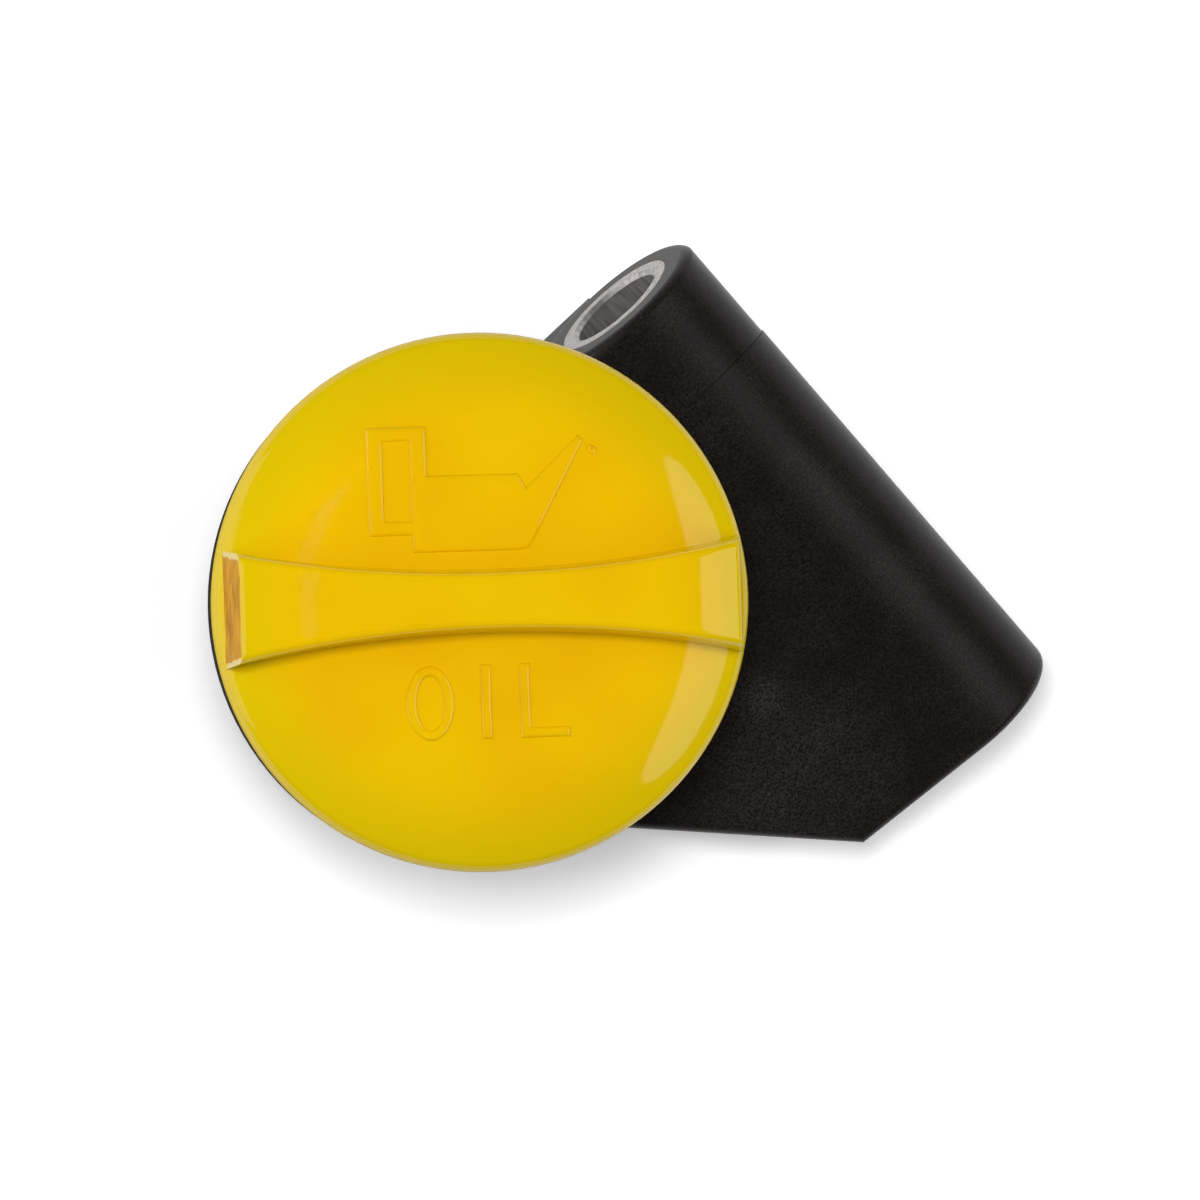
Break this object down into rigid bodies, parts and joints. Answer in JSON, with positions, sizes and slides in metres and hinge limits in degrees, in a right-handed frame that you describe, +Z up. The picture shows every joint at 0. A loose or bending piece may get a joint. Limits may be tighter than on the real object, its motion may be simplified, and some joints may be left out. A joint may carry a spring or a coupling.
{
  "type": "oil filler tube",
  "caption": "Moulded engine oil filler neck with a sleeved bolt boss on a web, a ring-sealed outlet and a quarter-turn yellow cap.",
  "frame": {"origin": "centre of the outlet's end face, on the neck axis, level with the boss's lowest point", "axes": "+Z up along the neck to the cap, +X towards the bolt boss, the bolt axis rising along +Y"},
  "size_m": [0.0623, 0.0676, 0.0476],
  "materials": {
    "body": "fine matt, glass-filled nylon",
    "sleeve": "turned ends",
    "ring": "satin",
    "cap": "gloss",
    "seal": "satin"
  },
  "bodies": {
    "tube": {"filler_body": "body", "bolt_sleeve": "sleeve", "outlet_ring": "ring"},
    "seal": {"cap_seal": "seal"},
    "cap": {"filler_cap": "cap"}
  },
  "joints": [
    {"name": "cap_lift", "type": "slide", "parent": "tube", "child": "seal", "axis": [0, 0, 1], "range_m": [0, 0.03]},
    {"name": "cap_turn", "type": "hinge", "parent": "seal", "child": "cap", "pos_m": [0, 0, 0.036], "axis": [0, 0, 1], "range_deg": [-75, 0]}
  ]
}
